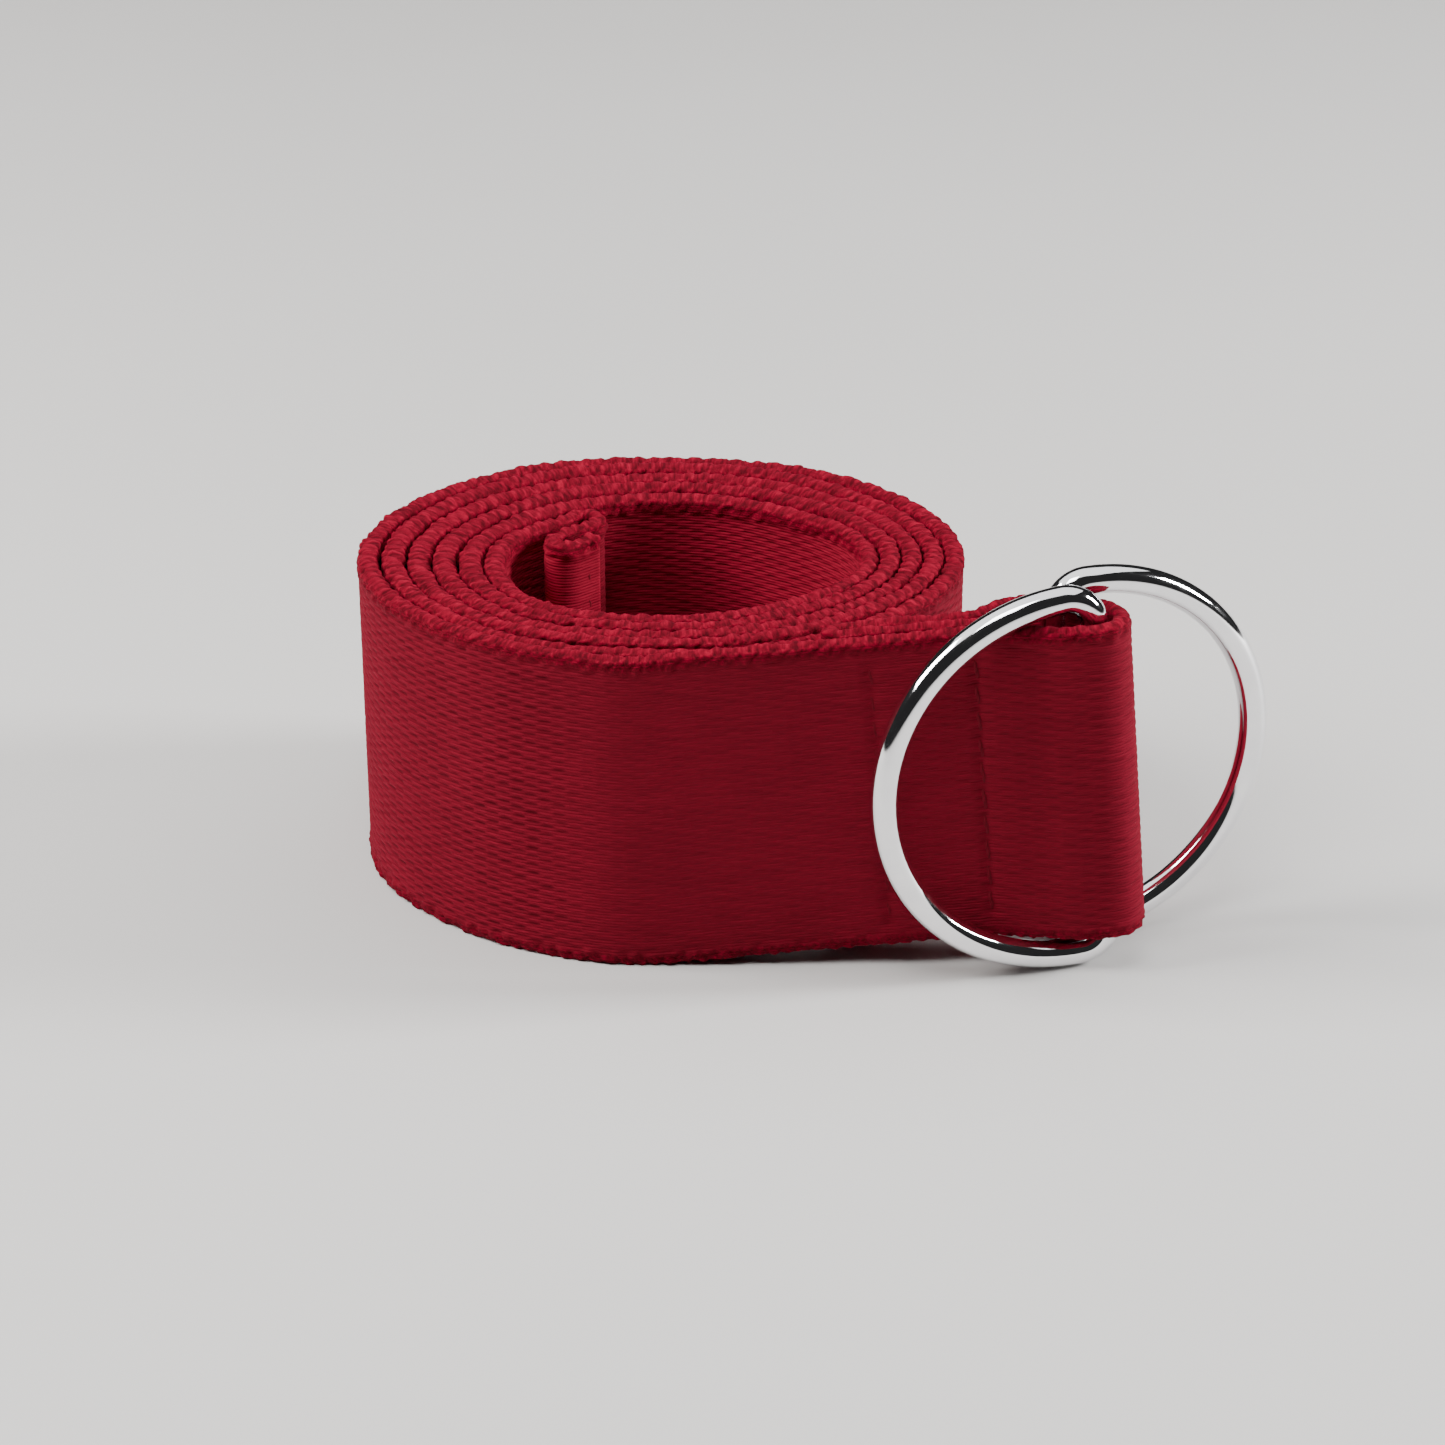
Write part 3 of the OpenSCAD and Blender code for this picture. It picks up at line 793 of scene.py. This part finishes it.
def ring(name, node, number, yaw, place, lift_it):
    """A welded wire ring, with the weld's low swelling on its bar, turned by a yaw and set in its place."""
    path = ring_path()
    count, sides = len(path), WIRE_SIDES
    tangent = np.roll(path, -1, 0) - np.roll(path, 1, 0)
    tangent /= np.linalg.norm(tangent, axis=1)[:, None]
    outward = np.stack([-tangent[:, 1], tangent[:, 0]], axis=1)
    gap = np.linalg.norm(np.roll(path, -1, 0) - path, axis=1)
    s = np.concatenate([[0], np.cumsum(gap)[:-1]])
    around = 2 * math.pi * np.arange(sides) / sides
    on_bar = path[:, 0] < 0.01
    weld = np.exp(-((path[:, 1] - WELD_HEIGHT) / WELD_REACH) ** 2) * on_bar
    swell = 1 + WELD_SWELLING * weld[:, None] * (1 + 0.5 * np.cos(3 * around + 1)[None])
    radius = WIRE * swell * (1 + 0.004 * wander(s, 11, 30 + number))[:, None]
    points = np.zeros((count, sides, 3))
    points[..., 0] = path[:, 0, None] + outward[:, 0, None] * np.cos(around) * radius
    points[..., 2] = path[:, 1, None] + outward[:, 1, None] * np.cos(around) * radius
    points[..., 1] = np.sin(around) * radius
    c, d = math.cos(math.radians(yaw)), math.sin(math.radians(yaw))
    turned = points.copy()
    turned[..., 0] = points[..., 0] * c - points[..., 1] * d + place[0]
    turned[..., 1] = points[..., 0] * d + points[..., 1] * c + place[1]
    turned[..., 2] += place[2]
    if lift_it:
        turned = lifted(turned, np.ones(turned.shape[:-1]))
    piece = mesh_of(name, ((turned + ORIGIN) * MM).reshape(-1, 3), loop_quads(count, sides, True))
    place_on = np.stack(np.broadcast_arrays(s[:, None], around[None] * WIRE, float(number)), -1)
    store(piece, "wire", place_on.reshape(-1, 3))
    return finish_piece(piece, CHROME, name.replace("_wire", ""), "chromed_steel", node)


front_place = np.array([AT["lift_x"] + AT["front_bar"][0], AT["front_bar"][1], MID])
ring("front_ring_wire", "front_d_ring", 1, 180 + FRONT_SWING, front_place, True)
rear_place = np.array([rear_bar_x, AT["rear_bar"][1], RING_RADIUS + WIRE])
ring("rear_ring_wire", "rear_d_ring", 2, REAR_SWING, rear_place, False)


# ---------------------------------------------------------------- stitches
def tube(path, radius, sides, turns_per_mm, phase):
    """Points and faces of a closed two-ply thread along a path in millimetres."""
    t = np.gradient(path, axis=0)
    t /= np.linalg.norm(t, axis=1)[:, None]
    up = np.array([0, 0, 1.0])
    u = np.cross(t, up)
    weak = np.linalg.norm(u, axis=1) < 0.3
    u[weak] = np.cross(t[weak], [1.0, 0, 0])
    u /= np.linalg.norm(u, axis=1)[:, None]
    for k in range(1, len(u)):  # carried along, so that the tube doesn't twist
        v = u[k - 1] - t[k] * (u[k - 1] @ t[k])
        u[k] = v / np.linalg.norm(v)
    w = np.cross(t, u)
    s = np.concatenate([[0], np.cumsum(np.linalg.norm(np.diff(path, axis=0), axis=1))])
    a = 2 * math.pi * np.arange(sides) / sides
    ply = np.abs(np.cos(a[None] - math.pi * turns_per_mm * s[:, None] + phase))
    r = radius * (0.74 + 0.26 * ply)
    spoke = np.cos(a)[None, :, None] * u[:, None] + np.sin(a)[None, :, None] * w[:, None]
    points = path[:, None] + spoke * r[..., None]
    n = len(path)
    caps = [list(range(sides))[::-1], [(n - 1) * sides + k for k in range(sides)]]
    twist = np.stack(np.broadcast_arrays(ply, s[:, None], 0.0), -1)
    return points, loop_quads(n, sides, False), caps, twist


THREAD_RADIUS, THREAD_SUNK, PLUNGE = 0.24, 0.17, 0.75
STITCH_POINTS, THREAD_SIDES, TWISTS_PER_MM = 22, 12, 0.9


def stitches():
    """The thread's line on one face: y is into the webbing and z along the row."""
    count = math.floor((WIDTH - 2 * STITCH_MARGIN) / STITCH)
    first = (WIDTH - count * STITCH) / 2
    z = np.linspace(0, count * STITCH, count * STITCH_POINTS + 1)
    u = (z / STITCH) % 1
    sink = 1 - np.sin(math.pi * u) ** 0.55
    y = THREAD_SUNK + sink * PLUNGE
    x = 0.10 * np.sin(2 * math.pi * u) + 0.05 * wander(z, STITCH, 41)
    tail = np.array([[0, 1.1, first - 0.05], [0, 0.9, first - 0.02]])
    body = np.stack([x, y, z + first], 1)
    end = tail[::-1].copy()
    end[:, 2] = first + count * STITCH + 0.02
    return np.concatenate([tail, body, end])


def seam(name, node, rows, upright):
    """All the stitches of one thread, by row: a plan point, a step into the webbing and one along it."""
    verts, quads, caps, twists, base = [], [], [], [], 0
    for number, (point, inward, along) in enumerate(rows):
        local = stitches()
        path = np.zeros_like(local)
        path[:, :2] = point + local[:, 1:2] * inward + local[:, 0:1] * along
        path[:, 2] = local[:, 2]
        p, q, c, t = tube(path, THREAD_RADIUS, THREAD_SIDES, TWISTS_PER_MM, number)
        weight = np.full(p.shape[:-1], 0.0 if upright else 1.0)
        verts.append((lifted(p, weight) + ORIGIN).reshape(-1, 3) * MM)
        quads.append(q + base)
        caps += [[k + base for k in cap] for cap in c]
        twists.append((t + [0, 0, number]).reshape(-1, 3))
        base += len(verts[-1])
    piece = mesh_of(name, np.concatenate(verts), np.concatenate(quads), caps)
    store(piece, "twist", np.concatenate(twists))
    return finish_piece(piece, THREAD, "strap", "sewing_thread", node)


half = THICK / 2
loop_face = AT["lead_y"] + SEAM_DIP - half
loop_back = loop_face + 2 * (FLAP_PITCH + half)
step_x = np.array([1.0, 0.0])
step_y = np.array([0.0, 1.0])
front_rows = [(np.array([AT["lift_x"] + x, loop_face]), step_y, step_x) for x in row_xs]
back_rows = [(np.array([AT["lift_x"] + x, loop_back]), -step_y, step_x) for x in row_xs]
seam("loop_needle_stitches", "loop_seam_needle_thread", front_rows, False)
seam("loop_bobbin_stitches", "loop_seam_bobbin_thread", back_rows, False)
into = ray(AT["hem_out"] - 90, 1.0)
hem_along = ray(AT["hem_out"], 1.0)
hem_face = hem_at - into * half
hem_other = hem_face + into * 2 * (HEM_PITCH + half)
seam("hem_needle_stitches", "hem_seam_needle_thread", [(hem_face, into, hem_along)], True)
seam("hem_bobbin_stitches", "hem_seam_bobbin_thread", [(hem_other, -into, hem_along)], True)


# ---------------------------------------------------------------- floor and light
FLOOR_REACH, FLOOR_GAP = 3, 0.00005  # metres


def floor():
    """A wide level sheet just under the strap."""
    n = 13
    grid = np.linspace(-FLOOR_REACH, FLOOR_REACH, n)
    verts = np.array([[x, y, -FLOOR_GAP] for x in grid for y in grid])
    i, j = np.meshgrid(np.arange(n - 1), np.arange(n - 1), indexing="ij")
    a = i * n + j
    quads = np.stack([a, a + n, a + n + 1, a + 1], -1).reshape(-1, 4)
    piece = mesh_of("floor", verts, quads)
    piece.data.materials.append(FLOOR)


def softbox(name, place, size, watts, tint=(1, 1, 1)):
    """An area light that faces the strap."""
    light = bpy.data.lights.new(name, "AREA")
    light.shape, light.size, light.size_y = "RECTANGLE", size[0], size[1]
    light.energy, light.color = watts, tint
    lamp = bpy.data.objects.new(name, light)
    lamp.location = place
    lamp.rotation_euler = (Vector((0, 0, 0.02)) - Vector(place)).to_track_quat("-Z", "Y").to_euler()
    bpy.context.scene.collection.objects.link(lamp)


floor()
softbox("key", (-0.58, -0.06, 0.52), (0.34, 0.34), 9.2, (1.0, 0.98, 0.96))
softbox("overhead", (0.0, 0.14, 0.85), (1.50, 1.10), 9.0)
softbox("fill", (-0.10, -0.34, 0.88), (0.40, 0.30), 3.5)
softbox("rim", (0.66, 0.02, 0.30), (0.14, 0.26), 9.0)
world = bpy.data.worlds.new("studio")
bpy.context.scene.world = world
world.use_nodes = True
world.node_tree.nodes["Background"].inputs["Color"].default_value = (0.80, 0.80, 0.82, 1)
world.node_tree.nodes["Background"].inputs["Strength"].default_value = 0.03
